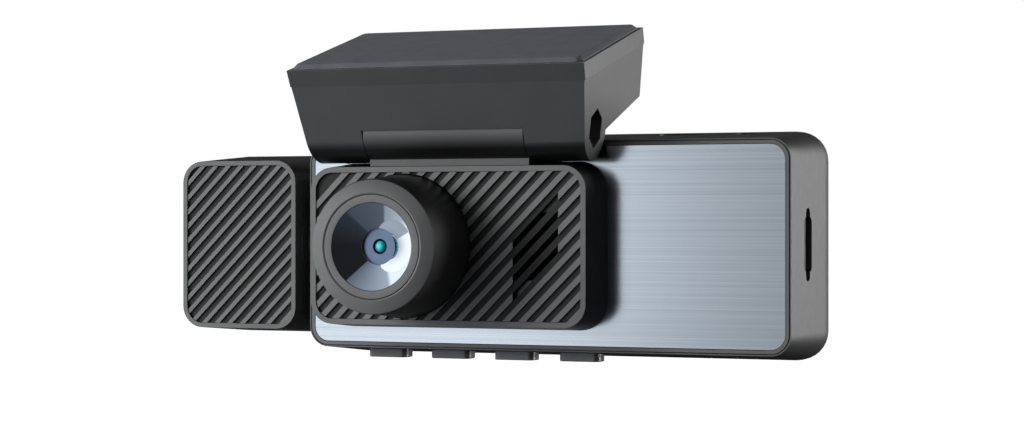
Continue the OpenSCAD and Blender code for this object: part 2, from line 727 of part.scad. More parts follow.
module lens_holder() color(chip_black) in_lens() difference() {
    union() {
        rod_y(-15.2, -4.5, holder_r);
        along_y(-4.6, sensor_y) rounded(16, 16, 1);
    }
    rod_y(-16, -5.9, hub_r + thread_gap);
    rod_y(-16, 0, 3.2);
    along_y(-3.8, 0) rounded(9, 8, 0.5);
}

module sensor_board() color(board_green) in_lens()
    along_y(sensor_y, sensor_y + board_t) rounded(19, 19, 1);

module image_sensor() color([0.2, 0.25, 0.3]) in_lens()
    along_y(sensor_y - 0.9, sensor_y) rounded(7, 6, 0.2);

// ---------- cabin camera ----------

module cabin_shell() color(housing) in_cabin() difference() {
    union() {
        difference() {
            drafted(cabin_w, cabin_h, cabin_r, cabin_y, cabin_back_y, cabin_flare);
            cabin_hollow();
        }
        // Pad inside the right wall for the pivot shaft's flange
        translate([-cabin_x, pivot_y, 0]) rod_x(-60, -57.6, 8.5);
        at_each(cabin_screw_at) rod_y(cabin_floor - eps, cabin_back_y - 1.6, 2.4);
    }
    along_y(cabin_y - over, cabin_panel_back)
        rounded(cabin_w - 2 * cabin_rim, cabin_h - 2 * cabin_rim, cabin_r - cabin_rim);
    translate([-cabin_x, pivot_y, 0]) rod_x(-64, -50, pivot_boss_r + fit_gap);
    at_each(cabin_screw_at) rod_y(14, 30, 0.8 + thread_gap);
}

module cabin_hollow() drafted(cabin_w - 2 * cabin_wall, cabin_h - 2 * cabin_wall, cabin_r - cabin_wall,
    cabin_floor, cabin_back_y + over, cabin_flare);

module cabin_ribbed_panel() color(rib_grey) in_cabin() {
    along_y(cabin_panel_back - panel_base_t, cabin_panel_back) cabin_panel_outline();
    along_y(cabin_panel_back - panel_base_t - rib_h, cabin_panel_back - panel_base_t + eps) intersection() {
        cabin_panel_outline();
        bars(cabin_w, cabin_h, cabin_rib_pitch, cabin_rib_share, cabin_rib_phase);
    }
}

module cabin_panel_outline()
    rounded(cabin_w - 2 * cabin_rim - 0.1, cabin_h - 2 * cabin_rim - 0.1, cabin_r - cabin_rim - fit_gap);

module cabin_rear_cover() color(housing) in_cabin() difference() {
    union() {
        eased(cabin_back_w, cabin_back_h, cabin_r + cabin_flare, cabin_back_y, cabin_rear_y, 1.1);
        along_y(cabin_back_y - 1.5, cabin_back_y + eps) difference() {
            rounded(cabin_back_w - 2 * cabin_wall - 0.5, cabin_back_h - 2 * cabin_wall - 0.5, 4.6);
            rounded(cabin_back_w - 2 * cabin_wall - 3, cabin_back_h - 2 * cabin_wall - 3, 3);
        }
    }
    rod_y(cabin_back_y - 4, cabin_rear_y + over, cabin_lens_r + fit_gap);
    at_each(lamp_at) rod_y(cabin_back_y - 4, cabin_rear_y + over, 1.6);
    at_each(cabin_screw_at) rod_y(cabin_back_y - 4, cabin_rear_y + over, 0.95);
    at_each(cabin_screw_at) rod_y(cabin_rear_y - 1, cabin_rear_y + over, 1.8);
}

module cabin_lens_barrel() color(chip_black) in_cabin() turned([
    [4.2, 17.05], [cabin_lens_r, 17.05], [cabin_lens_r, cabin_rear_y + 1],
    [cabin_lens_r - 0.6, cabin_rear_y + 1.6], [4.9, cabin_rear_y + 1.6], [4.2, cabin_rear_y + 0.6]
]);

module cabin_lens() color([0.15, 0.3, 0.4]) in_cabin() intersection() {
    translate([0, cabin_rear_y - 6.4, 0]) sphere(7.2, $fn = round_fn);
    rod_y(cabin_rear_y - 1.4, cabin_rear_y + 2, 4.15);
}

module infrared_lamps() color([0.3, 0.2, 0.3]) in_cabin() at_each(lamp_at) {
    rod_y(17.05, cabin_rear_y - 1, 1.5);
    translate([0, cabin_rear_y - 1, 0]) intersection() {
        sphere(1.5, $fn = round_fn);
        rod_y(-eps, 3, 2);
    }
}

module cabin_board() color(board_green) in_cabin() difference() {
    along_y(15.8, 17) rounded(20, 32, 1.5);
    at_each(cabin_screw_at) rod_y(15, 18, 2.6);
}

module cabin_screws() color(steel) in_cabin() at_each(cabin_screw_at)
    translate([0, cabin_rear_y - 0.1, 0]) rotate([180, 0, 0]) screw_y(5.5, 0.8, 1.6, 0.9);

// ---------- pivot between the housings ----------

module pivot_bush() color([0.16, 0.16, 0.16]) in_body() translate([0, pivot_y, 0]) difference() {
    union() {
        rod_x(pivot_boss_x + pivot_gap, bush_seat_x, pivot_boss_r);
        rod_x(bush_seat_x - eps, -50.2, pivot_bush_r);
    }
    rod_x(-60, -45, pivot_journal_r + pivot_running);
}

module pivot_shaft() color([0.16, 0.16, 0.16]) in_body() translate([0, pivot_y, 0]) difference() {
    union() {
        rod_x(-61.5, -60 - eps, 7.6);
        rod_x(-60.5, pivot_boss_x, pivot_boss_r);
        rod_x(pivot_boss_x - eps, -48.6, pivot_journal_r);
    }
    rod_x(-62, -45, 2.4);
    difference() {
        rod_x(-50, -49.2, pivot_journal_r + over);
        rod_x(-51, -48, 3.4);
    }
}

// Open ring that snaps into the shaft's groove
module pivot_clip() color(steel) in_body() translate([0, pivot_y, 0]) difference() {
    rod_x(-49.95, -49.25, 5.6);
    rod_x(-51, -48, 3.45);
    box([-51, -1.6, -8], [-48, 1.6, 0]);
}

// ---------- the nodes ----------

bracket_shell();
bracket_cover();
adhesive_pad();
cover_screws();
hinge_bolt();
hinge_nut();
tilt_knuckle();
knuckle_screws();
friction_washers();
body_shell();
front_frame();
trim_plate();
rear_cover();
screen_glass();
lcd_panel();
main_board();
board_screws();
image_processor();
memory_chips();
heat_spreader();
backup_capacitors();
microphone();
card_socket();
usb_socket();
rear_camera_jack();
button_board();
button_switches();
case_screws();
module_shell();
ribbed_panel();
module_screws();
speaker();
lens_barrel();
lens_ring();
polished_cone();
lens_hub();
front_lens();
lens_holder();
sensor_board();
image_sensor();
pivot_bush();
cabin_shell();
cabin_ribbed_panel();
cabin_rear_cover();
cabin_lens_barrel();
cabin_lens();
infrared_lamps();
cabin_board();
cabin_screws();
pivot_shaft();
pivot_clip();
for (i = [0:3]) button(i);
memory_card();
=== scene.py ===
"""Looks of the dash camera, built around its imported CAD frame."""

import math

import bmesh
import bpy
from mathutils import Matrix, Vector


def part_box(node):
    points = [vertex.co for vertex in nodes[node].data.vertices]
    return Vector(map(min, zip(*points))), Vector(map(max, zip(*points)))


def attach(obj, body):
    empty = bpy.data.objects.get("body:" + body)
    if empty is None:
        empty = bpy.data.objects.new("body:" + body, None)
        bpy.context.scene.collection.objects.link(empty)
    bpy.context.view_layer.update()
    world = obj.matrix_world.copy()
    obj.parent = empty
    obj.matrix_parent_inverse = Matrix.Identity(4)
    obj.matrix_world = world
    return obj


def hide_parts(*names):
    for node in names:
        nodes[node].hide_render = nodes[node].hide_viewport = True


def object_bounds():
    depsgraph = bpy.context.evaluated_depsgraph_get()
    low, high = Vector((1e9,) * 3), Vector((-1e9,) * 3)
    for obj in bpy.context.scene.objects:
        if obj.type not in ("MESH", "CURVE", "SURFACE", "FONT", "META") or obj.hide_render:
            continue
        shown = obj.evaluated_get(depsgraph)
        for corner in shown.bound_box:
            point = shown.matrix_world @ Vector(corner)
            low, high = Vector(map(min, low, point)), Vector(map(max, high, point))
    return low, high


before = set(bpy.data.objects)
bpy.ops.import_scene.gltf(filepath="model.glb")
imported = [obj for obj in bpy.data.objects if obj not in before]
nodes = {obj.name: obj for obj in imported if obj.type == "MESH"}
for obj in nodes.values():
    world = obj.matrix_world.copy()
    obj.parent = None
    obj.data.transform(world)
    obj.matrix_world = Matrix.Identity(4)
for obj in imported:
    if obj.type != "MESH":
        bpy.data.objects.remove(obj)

MM = 0.001
cad_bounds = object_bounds()


def front_of(node):
    """The middle of a turned node's front end."""
    low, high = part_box(node)
    return Vector(((low.x + high.x) / 2, low.y, (low.z + high.z) / 2))


# ---------- shader helpers ----------

class Shader:
    """A material with one Principled shader, and short calls that add its nodes."""

    def __init__(self, name, roughness=0.5, metallic=0.0, **sockets):
        self.material = bpy.data.materials.new(name)
        self.material.use_nodes = True
        self.tree = self.material.node_tree
        self.bsdf = self.tree.nodes["Principled BSDF"]
        self.bsdf.inputs["Roughness"].default_value = roughness
        self.bsdf.inputs["Metallic"].default_value = metallic
        for socket, value in sockets.items():
            self.bsdf.inputs[socket.replace("_", " ")].default_value = value

    def node(self, kind, **settings):
        made = self.tree.nodes.new(kind)
        for name, value in settings.items():
            setattr(made, name, value)
        return made

    def link(self, out, into):
        self.tree.links.new(out, into)

    def feed(self, value, into):
        if hasattr(value, "is_output"):
            self.link(value, into)
        else:
            into.default_value = value

    def place(self, scale=(1, 1, 1), rotation=(0, 0, 0)):
        """Object coordinates in millimetres, then scaled and turned."""
        spot = self.node("ShaderNodeTexCoord").outputs["Object"]
        mapping = self.node("ShaderNodeMapping")
        self.link(spot, mapping.inputs["Vector"])
        mapping.inputs["Scale"].default_value = [s / MM for s in scale]
        mapping.inputs["Rotation"].default_value = rotation
        return mapping.outputs["Vector"]

    def axis(self, source, letter):
        """One axis of the texture coordinates named by source."""
        spot = self.node("ShaderNodeSeparateXYZ")
        self.link(self.node("ShaderNodeTexCoord").outputs[source], spot.inputs[0])
        return spot.outputs[letter]

    def noise(self, scale, detail=3.0, where=None, roughness=0.5):
        made = self.node("ShaderNodeTexNoise")
        self.link(where or self.place(), made.inputs["Vector"])
        made.inputs["Scale"].default_value = scale
        made.inputs["Detail"].default_value = detail
        made.inputs["Roughness"].default_value = roughness
        return made.outputs["Fac"]

    def ramp(self, fac, *stops):
        made = self.node("ShaderNodeValToRGB")
        self.link(fac, made.inputs["Fac"])
        elements = made.color_ramp.elements
        while len(elements) < len(stops):
            elements.new(0.5)
        for element, (position, colour) in zip(elements, stops):
            element.position = position
            element.color = (*colour, 1) if hasattr(colour, "__len__") else (colour,) * 3 + (1,)
        return made.outputs["Color"]

    def spread(self, fac, low, high):
        """fac from 0 to 1, brought to low to high."""
        made = self.node("ShaderNodeMapRange")
        self.link(fac, made.inputs["Value"])
        made.inputs["To Min"].default_value = low
        made.inputs["To Max"].default_value = high
        return made.outputs["Result"]

    def share(self, value, start, finish):
        """0 where value is at start, 1 where it is at finish."""
        made = self.node("ShaderNodeMapRange")
        self.link(value, made.inputs["Value"])
        made.inputs["From Min"].default_value = start
        made.inputs["From Max"].default_value = finish
        return made.outputs["Result"]

    def blotches(self, scale, detail, tone, dark, pale):
        """A tone that drifts between dark and pale shares of itself."""
        stops = [(place, tuple(c * k for c in tone)) for place, k in ((0.3, dark), (0.7, pale))]
        return self.ramp(self.noise(scale, detail), *stops)

    def mix(self, fac, a, b, blend="MIX"):
        made = self.node("ShaderNodeMix", data_type="RGBA", blend_type=blend)
        self.feed(fac, made.inputs[0])
        self.feed(a, made.inputs[6])
        self.feed(b, made.inputs[7])
        return made.outputs[2]

    def math(self, operation, a, b=0.5):
        made = self.node("ShaderNodeMath", operation=operation)
        self.feed(a, made.inputs[0])
        self.feed(b, made.inputs[1])
        return made.outputs[0]

    def bump(self, height, strength=0.3, distance=0.02):
        """A bump whose full height is distance, in millimetres."""
        made = self.node("ShaderNodeBump")
        made.inputs["Strength"].default_value = strength
        made.inputs["Distance"].default_value = distance * MM
        self.link(height, made.inputs["Height"])
        return made.outputs["Normal"]

    def forward(self):
        """1 on faces that look forward, 0 on the others."""
        return self.ramp(self.math("MULTIPLY", self.axis("Normal", "Y"), -1.0), (0.8, 0.0), (0.92, 1.0))

    def painted_shade_by_tilt(self, below, level, above):
        """Painted shade and light by facing: one colour for faces that look down, one for upright faces and
        one for faces that look up.
        """
        tilt = self.math("MULTIPLY", self.math("ADD", self.axis("Normal", "Z"), 1.0), 0.5)
        return self.ramp(tilt, (0.2, below), (0.44, level), (0.6, level), (0.85, above))

    def end(self, colour=None, roughness=None, normal=None):
        if colour is not None:
            self.feed(colour, self.bsdf.inputs["Base Color"])
        if roughness is not None:
            self.feed(roughness, self.bsdf.inputs["Roughness"])
        if normal is not None:
            self.feed(normal, self.bsdf.inputs["Normal"])
        return self.material


def grey(value):
    return (value, value, value, 1)


# ---------- materials ----------

PLASTIC_GLOSS = 0.8      # specular level of the dark mouldings


def moulded(name, tone, roughness=0.4, grain=0.25, below=1.0, above=1.0, front=1.0, shine=PLASTIC_GLOSS):
    """Spark-eroded moulding: fine grain and slight unevenness of colour and gloss.

    below, above and front scale the tone of the faces that look down, up and forward: painted shade and
    painted light, in place of how the lamps fall on them.
    """
    s = Shader(name, roughness, Specular_IOR_Level=shine)
    fine = s.noise(7, 4)
    patchy = s.ramp(s.noise(0.12, 3), (0.3, 0.93), (0.7, 1.06))
    # painted shade and light: the tone scaled by whether each face looks down, sideways or up
    tilt_shaded_tone = s.painted_shade_by_tilt(*[tuple(c * k for c in tone) for k in (below, 1.0, above)])
    colour = s.mix(1, tilt_shaded_tone, patchy, "MULTIPLY")
    # painted light: faces that look forward get a lighter tone than the sides
    if front != 1.0:
        colour = s.mix(s.forward(), colour, (*(c * front for c in tone), 1))
    gloss = s.spread(s.noise(0.5, 3), roughness - 0.06, roughness + 0.07)
    return s.end(colour, gloss, s.bump(fine, grain, 0.03))


def ribbed(name, tone, floor_y):
    """The moulding of the ribbed panels, with painted shade on the groove floors at floor_y and behind: a
    darker tone and a weaker highlight there.
    """
    s = Shader(name, 0.42, Specular_IOR_Level=PLASTIC_GLOSS)
    # painted shade: the mask of the groove floors, which get a darker tone and less shine
    depth = s.share(s.axis("Object", "Y"), floor_y - 0.2 * MM, floor_y - 0.05 * MM)
    top = s.blotches(0.15, 3, tone, 0.94, 1.06)
    colour = s.mix(depth, top, (*(c * 0.22 for c in tone), 1))
    s.link(s.spread(depth, PLASTIC_GLOSS, 0.15), s.bsdf.inputs["Specular IOR Level"])
    gloss = s.spread(s.noise(0.6, 3), 0.37, 0.47)
    return s.end(colour, gloss, s.bump(s.noise(7, 4), 0.3, 0.03))


def brushed(name):
    """Anodised aluminium brushed lengthways, in long fine streaks."""
    s = Shader(name, 0.16, 1.0)
    long_streak = s.noise(1, 4, s.place((0.006, 1, 5)), 0.6)
    fine_streak = s.noise(1, 5, s.place((0.02, 1, 22)), 0.7)
    both = s.math("ADD", s.math("MULTIPLY", long_streak, 0.5), s.math("MULTIPLY", fine_streak, 0.5))
    colour = s.ramp(both, (0.34, (0.52, 0.58, 0.65)), (0.5, (0.62, 0.68, 0.745)), (0.66, (0.74, 0.79, 0.85)))
    gloss = s.spread(both, 0.12, 0.22)
    return s.end(colour, gloss, s.bump(fine_streak, 0.35, 0.01))


def polished(name, tone, roughness=0.04):
    """Metal turned on a lathe and polished, with faint unevenness of tone and gloss."""
    s = Shader(name, roughness, 1.0)
    gloss = s.spread(s.noise(0.8, 3), roughness * 0.7, roughness * 1.6)
    return s.end(s.blotches(0.3, 2, tone, 0.97, 1.0), gloss)


def satin_metal(name, tone, roughness=0.38):
    """Metal with a fine blasted grain."""
    s = Shader(name, roughness, 0.85)
    grain = s.noise(9, 4)
    colour = s.blotches(0.5, 3, tone, 0.92, 1.05)
    return s.end(colour, s.spread(grain, roughness - 0.08, roughness + 0.1), s.bump(grain, 0.15, 0.01))


def foam(name):
    """Closed-cell adhesive foam under a satin release film."""
    s = Shader(name, 0.42)
    cells = s.noise(5, 5)
    colour = s.ramp(s.noise(0.2, 4), (0.3, (0.088, 0.093, 0.105)), (0.7, (0.105, 0.11, 0.123)))
    return s.end(colour, s.spread(s.noise(0.3, 3), 0.36, 0.5), s.bump(cells, 0.25, 0.04))


def mesh_cloth(name):
    """Fine black acoustic cloth, which hardly shines."""
    s = Shader(name, 0.9, Specular_IOR_Level=0.05)
    colour = s.ramp(s.noise(4, 3), (0.3, 0.003), (0.7, 0.006))
    return s.end(colour, s.spread(s.noise(6, 3), 0.82, 0.98), s.bump(s.noise(14, 2), 0.5, 0.05))


def rubber(name):
    """Matt black rubber."""
    s = Shader(name, 0.75)
    colour = s.ramp(s.noise(0.8, 4), (0.3, 0.012), (0.7, 0.022))
    return s.end(colour, s.spread(s.noise(2, 3), 0.68, 0.85), s.bump(s.noise(8, 4), 0.4, 0.03))


def screen(name):
    """Black cover glass over a display that is switched off, with faint wipe marks."""
    s = Shader(name, 0.06, Coat_Weight=0.6)
    smear = s.noise(1, 5, s.place((0.05, 1, 0.12), (0, 0.5, 0)), 0.65)
    colour = s.ramp(s.noise(0.1, 2), (0.3, (0.004, 0.0042, 0.005)), (0.7, (0.006, 0.0063, 0.0075)))
    return s.end(colour, s.spread(smear, 0.03, 0.13))


def lens_coating(name, tone, middle, radius, roughness=0.03):
    """Coated glass over a dark throat, black outside radius (in millimetres) round its middle."""
    s = Shader(name, roughness, Coat_Weight=1.0, Coat_Roughness=0.02)
    away = s.node("ShaderNodeVectorMath", operation="SUBTRACT")
    s.link(s.node("ShaderNodeTexCoord").outputs["Object"], away.inputs[0])
    away.inputs[1].default_value = middle
    flat = s.node("ShaderNodeVectorMath", operation="MULTIPLY")
    s.link(away.outputs[0], flat.inputs[0])
    flat.inputs[1].default_value = (1 / MM, 0, 1 / MM)
    out = s.node("ShaderNodeVectorMath", operation="LENGTH")
    s.link(flat.outputs[0], out.inputs[0])
    share = s.math("DIVIDE", out.outputs["Value"], radius * 1.4)
    stops = [(place, tuple(c * k for c in tone)) for place, k in ((0.1, 1.0), (0.5, 0.6), (0.68, 0.35))]
    colour = s.ramp(share, *stops, (0.74, 0.002))
    return s.end(colour, s.spread(s.noise(1, 2), roughness * 0.6, roughness * 1.5))


def resin(name, tone):
    """Dark clear resin of an infrared lamp."""
    s = Shader(name, 0.1, Coat_Weight=1.0, Coat_Roughness=0.03)
    colour = s.blotches(1.5, 3, tone, 0.5, 1.0)
    return s.end(colour, s.spread(s.noise(1, 2), 0.06, 0.16))


def circuit(name):
    """Green solder mask over copper tracks, with pale pads."""
    s = Shader(name, 0.32)
    tracks = s.node("ShaderNodeTexBrick", offset=0.37)
    s.link(s.place((1, 1, 1), (math.pi / 2, 0, 0)), tracks.inputs["Vector"])
    tracks.inputs["Color1"].default_value = (0.005, 0.09, 0.045, 1)
    tracks.inputs["Color2"].default_value = (0.008, 0.13, 0.06, 1)
    tracks.inputs["Mortar"].default_value = (0.02, 0.2, 0.09, 1)
    tracks.inputs["Scale"].default_value = 1
    tracks.inputs["Mortar Size"].default_value = 0.06
    tracks.inputs["Brick Width"].default_value = 2.4
    tracks.inputs["Row Height"].default_value = 0.7
    pads = s.node("ShaderNodeTexVoronoi")
    s.link(s.place(), pads.inputs["Vector"])
    pads.inputs["Scale"].default_value = 0.55
    dot = s.ramp(pads.outputs["Distance"], (0.1, 1.0), (0.14, 0.0))
    colour = s.mix(dot, tracks.outputs["Color"], (0.62, 0.55, 0.32, 1))
    return s.end(colour, s.spread(s.noise(1, 3), 0.25, 0.42), s.bump(tracks.outputs["Fac"], 0.3, 0.03))


def chip(name):
    """Moulded black resin of a chip's package."""
    s = Shader(name, 0.55)
    colour = s.ramp(s.noise(1.2, 4), (0.3, 0.012), (0.7, 0.02))
    return s.end(colour, s.spread(s.noise(2, 3), 0.45, 0.65), s.bump(s.noise(12, 3), 0.3, 0.02))


def steel(name, tone=0.55):
    """Plated steel with fine scratches."""
    s = Shader(name, 0.3, 1.0)
    scratch = s.noise(1, 4, s.place((1, 6, 1)), 0.6)
    colour = s.ramp(scratch, (0.3, tone * 0.85), (0.7, tone * 1.08))
    return s.end(colour, s.spread(s.noise(3, 3), 0.2, 0.42), s.bump(scratch, 0.15, 0.01))


def sleeve(name):
    """Blue shrink sleeve of a capacitor."""
    s = Shader(name, 0.28, Coat_Weight=0.3)
    colour = s.ramp(s.noise(0.4, 3), (0.3, (0.012, 0.02, 0.1)), (0.7, (0.02, 0.032, 0.15)))
    return s.end(colour, s.spread(s.noise(1, 3), 0.2, 0.38), s.bump(s.noise(3, 3), 0.1, 0.02))


def neutral(value):
    """A grey tone as three equal parts."""
    return (value,) * 3


RIBS = neutral(0.145)
looks = {
    # below, above and front here are painted shade and painted light: darker undersides and tops, lighter
    # bracket tops, housing fronts 3.6 times lighter than its sides
    "bracket": moulded("bracket_plastic", neutral(0.09), below=0.08, above=1.3),
    "front": moulded("front_plastic", neutral(0.128), above=0.08),
    "housing": moulded("housing_plastic", neutral(0.033), above=0.8, front=3.6, shine=0.62),
    "button": moulded("button_plastic", neutral(0.185), 0.36, 0.15),
    "black": moulded("black_plastic", (0.014, 0.014, 0.015), 0.5),
    "pivot": moulded("pivot_plastic", neutral(0.09), 0.35, 0.1),
    "brushed": brushed("brushed_metal"),
    "polished": polished("polished_metal", (0.93, 0.96, 1.0)),
    "hub": satin_metal("hub_metal", (0.21, 0.28, 0.41)),
    "foam": foam("pad_foam"),
    "cloth": mesh_cloth("speaker_cloth"),
    "rubber": rubber("washer_rubber"),
    "screen": screen("screen_black"),
    "display": screen("display_panel"),
    "eye": lens_coating("lens_coating", (0.03, 0.85, 0.9), front_of("front_lens"), 1.15),
    "cabin_eye": lens_coating("cabin_lens_coating", (0.02, 0.12, 0.3), front_of("cabin_lens"), 2.6),
    "lamp": resin("lamp_resin", (0.05, 0.012, 0.03)),
    "circuit": circuit("circuit_board"),
    "chip": chip("chip_black"),
    "steel": steel("screw_steel"),
    "socket": steel("socket_metal", 0.62),
    "aluminium": satin_metal("raw_aluminium", (0.7, 0.71, 0.72), 0.3),
    "sleeve": sleeve("capacitor_sleeve"),
    "card": moulded("card_plastic", (0.03, 0.03, 0.032), 0.3, 0.1),
}


# ---------- CAD nodes that keep their shape ----------

FLAT_ANGLE = 0.5                                           # degrees between faces that count as one
FLATTER = {"bracket_shell": 2.5, "bracket_cover": 2.5}     # the same for nodes with slightly bent faces
EDGE_ANGLE = 28                                            # degrees at an edge that gets softened
WELD = 0.002                                               # millimetres between points that count as one


def dress(name, look, edge=0.12, steps=3):
    """Gives a CAD node its material and softened edges, without touching its mesh."""
    obj = nodes[name]
    obj.data.materials.clear()
    obj.data.materials.append(looks[look])
    obj.data.polygons.foreach_set("use_smooth", [True] * len(obj.data.polygons))
    weld = obj.modifiers.new("weld", "WELD")
    weld.merge_threshold = WELD * MM
    flat = obj.modifiers.new("flat", "DECIMATE")
    flat.decimate_type = "DISSOLVE"
    flat.angle_limit = math.radians(FLATTER.get(name, FLAT_ANGLE))
    if edge:
        bevel = obj.modifiers.new("edge", "BEVEL")
        bevel.width = edge * MM
        bevel.segments = steps
        bevel.limit_method = "ANGLE"
        bevel.angle_limit = math.radians(EDGE_ANGLE)
        bevel.harden_normals = True
        bevel.miter_outer = "MITER_ARC"
    normals = obj.modifiers.new("normals", "WEIGHTED_NORMAL")
    normals.keep_sharp = True


DRESSED = {
    "bracket": [("bracket_shell", 0.35), ("bracket_cover", 0.3), ("tilt_knuckle", 0.25)],
    "front": [("front_frame", 0.15), ("module_shell", 0.2), ("cabin_shell", 0.2)],
    "housing": [("body_shell", 0.12), ("rear_cover", 0.15), ("cabin_rear_cover", 0.15)],
    "ribs": [("ribbed_panel", 0.12)],
    "cabin_ribs": [("cabin_ribbed_panel", 0.12)],
    "foam": [("adhesive_pad", 0.1)],
    "rubber": [("friction_washers", 0.05)],
    "steel": [("cover_screws", 0.05), ("hinge_bolt", 0.1), ("hinge_nut", 0.1), ("knuckle_screws", 0.05),
              ("board_screws", 0.05), ("case_screws", 0.05), ("module_screws", 0.05), ("cabin_screws", 0.05),
              ("pivot_clip", 0.05)],
    "brushed": [("trim_plate", 0.08)],
    "screen": [("screen_glass", 0.15)],
    "display": [("lcd_panel", 0.1)],
    "circuit": [("main_board", 0.04), ("button_board", 0.04), ("sensor_board", 0.04), ("cabin_board", 0.04)],
    "chip": [("image_processor", 0.05), ("memory_chips", 0.05), ("image_sensor", 0.05)],
    "aluminium": [("heat_spreader", 0.08)],
    "sleeve": [("backup_capacitors", 0.4)],
    "socket": [("microphone", 0.1), ("card_socket", 0.05), ("usb_socket", 0.05)],
    "black": [("rear_camera_jack", 0.08), ("button_switches", 0.06), ("lens_holder", 0.08),
              ("cabin_lens_barrel", 0.08)],
    "cloth": [("speaker", 0.2)],
    "pivot": [("pivot_bush", 0.12), ("pivot_shaft", 0.12)],
    "button": [(f"button_{i}", 0.25) for i in range(1, 5)],
    "card": [("memory_card", 0.06)],
    "hub": [("lens_hub", 0.05)],
    "eye": [("front_lens", 0)],
    "cabin_eye": [("cabin_lens", 0)],
    "lamp": [("infrared_lamps", 0)],
}


RIB_HEIGHT = 0.4         # millimetres that the ribs stand in front of the groove floors


def groove_floor(panel):
    """Y of the groove floors of a ribbed panel."""
    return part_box(panel)[0].y + RIB_HEIGHT * MM


looks["ribs"] = ribbed("rib_plastic", RIBS, groove_floor("ribbed_panel"))
looks["cabin_ribs"] = ribbed("cabin_rib_plastic", RIBS, groove_floor("cabin_ribbed_panel"))
for look, members in DRESSED.items():
    for node_name, edge_mm in members:
        dress(node_name, look, edge_mm)


# ---------- turned pieces ----------

def filleted(corners, steps=5):
    """The profile through corners (radius, depth, fillet), with each corner rounded by its fillet."""
    points = []
    count = len(corners)
    for i, (r, d, fillet) in enumerate(corners):
        here = Vector((r, d))
        if not fillet:
            points.append(here)
            continue
        before = (Vector(corners[i - 1][:2]) - here).normalized()
        after = (Vector(corners[(i + 1) % count][:2]) - here).normalized()
        half = before.angle(after) / 2
        reach = fillet / math.tan(half)
        middle = here + (before + after).normalized() * fillet / math.sin(half)
        start = here + before * reach - middle
        end = here + after * reach - middle
        sweep = start.angle_signed(end)
        for k in range(steps + 1):
            turned = start.copy()
            turned.rotate(Matrix.Rotation(-sweep * k / steps, 2))
            points.append(middle + turned)
    return points


SHARP_ANGLE = 32         # degrees between faces that meet at a sharp edge


def lathe(name, node, look, body, axis, corners, steps=192):
    """A solid turned about the Y axis through axis, in place of a CAD node.

    corners is its closed profile: radius, depth behind axis and fillet, in millimetres.
    """
    profile = filleted(corners)
    rows = len(profile)
    verts = []
    for k in range(steps):
        a = math.tau * k / steps
        for r, d in profile:
            verts.append(axis + Vector((r * math.cos(a), d, r * math.sin(a))) * MM)
    faces = []
    for k in range(steps):
        here, there = k * rows, (k + 1) % steps * rows
        for i in range(rows):
            j = (i + 1) % rows
            if max(profile[i][0], profile[j][0]) > 0:
                faces.append((here + i, here + j, there + j, there + i))
    mesh = bpy.data.meshes.new(name)
    mesh.from_pydata(verts, [], faces)
    shape = bmesh.new()
    shape.from_mesh(mesh)
    bmesh.ops.remove_doubles(shape, verts=shape.verts, dist=1e-7)
    bmesh.ops.recalc_face_normals(shape, faces=shape.faces)
    shape.to_mesh(mesh)
    shape.free()
    mesh.shade_smooth()
    mesh.set_sharp_from_angle(angle=math.radians(SHARP_ANGLE))
    mesh.materials.append(looks[look])
    obj = bpy.data.objects.new(name, mesh)
    bpy.context.scene.collection.objects.link(obj)
    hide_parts(node)
    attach(obj, body)
    return obj


lens_front = front_of("lens_barrel")


def depth_of_back(node):
    """Millimetres from the lens front to the back of a node."""
    return (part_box(node)[1].y - lens_front.y) / MM


def lens_part(name, node, look, corners):
    return lathe(name, node, look, "camera", lens_front, corners)


BORE_R = 11.6            # inside of the barrel, behind its lip
BASE_R = 15              # outside of the barrel at its back
SHOULDER_R = 13.72       # outside of the chamfer
LIP_R = 10.66            # outside of the groove round the ring
LIP_DEPTH = 2.2
RING_R = 10.58
RING_BORE_R = 8.98
RING_FRONT = 0.1
RING_BACK = 2.9
barrel_back = depth_of_back("lens_barrel")
lens_part("barrel", "lens_barrel", "front", [
    (BORE_R, barrel_back, 0), (BASE_R, barrel_back, 0), (SHOULDER_R, 0.95, 0.35), (11, 0.05, 0.2),
    (LIP_R, 0.2, 0.04), (LIP_R, LIP_DEPTH, 0), (BORE_R, LIP_DEPTH, 0)])
lens_part("ring", "lens_ring", "front", [
    (RING_BORE_R, RING_FRONT, 0.06), (RING_R, RING_FRONT, 0.1), (RING_R, RING_BACK, 0),
    (RING_BORE_R, RING_BACK, 0)])

CONE_R = 8.9             # at the mouth
CONE_RUN = 5.16          # from the mouth's radius to the throat's
CONE_FRONT = 0.14
cone_back = depth_of_back("polished_cone")
CONE_DEPTH = cone_back - 0.64
throat_r = CONE_R - CONE_RUN
lens_part("cone", "polished_cone", "polished", [
    (CONE_R, CONE_FRONT, 0), (throat_r, CONE_FRONT + CONE_DEPTH, 0.04), (throat_r, cone_back, 0),
    (CONE_R, cone_back, 0)])


# ---------- stage, light and camera ----------

def plain(name, tone, glow):
    """Matt paint with a glow, which keeps it free of shadows."""
    s = Shader(name, 0.9)
    s.bsdf.inputs["Emission Color"].default_value = grey(1)
    s.bsdf.inputs["Emission Strength"].default_value = glow
    return s.end(s.ramp(s.noise(0.002, 2), (0.3, tone * 0.99), (0.7, tone)))


def unseen(obj, camera=True, diffuse=True, glossy=True):
    """Hides obj from the kinds of ray that are False, and from shadows."""
    obj.visible_camera = camera
    obj.visible_diffuse = diffuse
    obj.visible_glossy = glossy
    obj.visible_shadow = False
    return obj


def stage_mesh(name, verts, faces, material):
    """A piece of the studio, which isn't part of the object."""
    mesh = bpy.data.meshes.new(name)
    mesh.from_pydata(verts, [], faces)
    mesh.materials.append(material)
    obj = bpy.data.objects.new(name, mesh)
    bpy.context.scene.collection.objects.link(obj)
    return obj


centre = sum(cad_bounds, Vector()) / 2


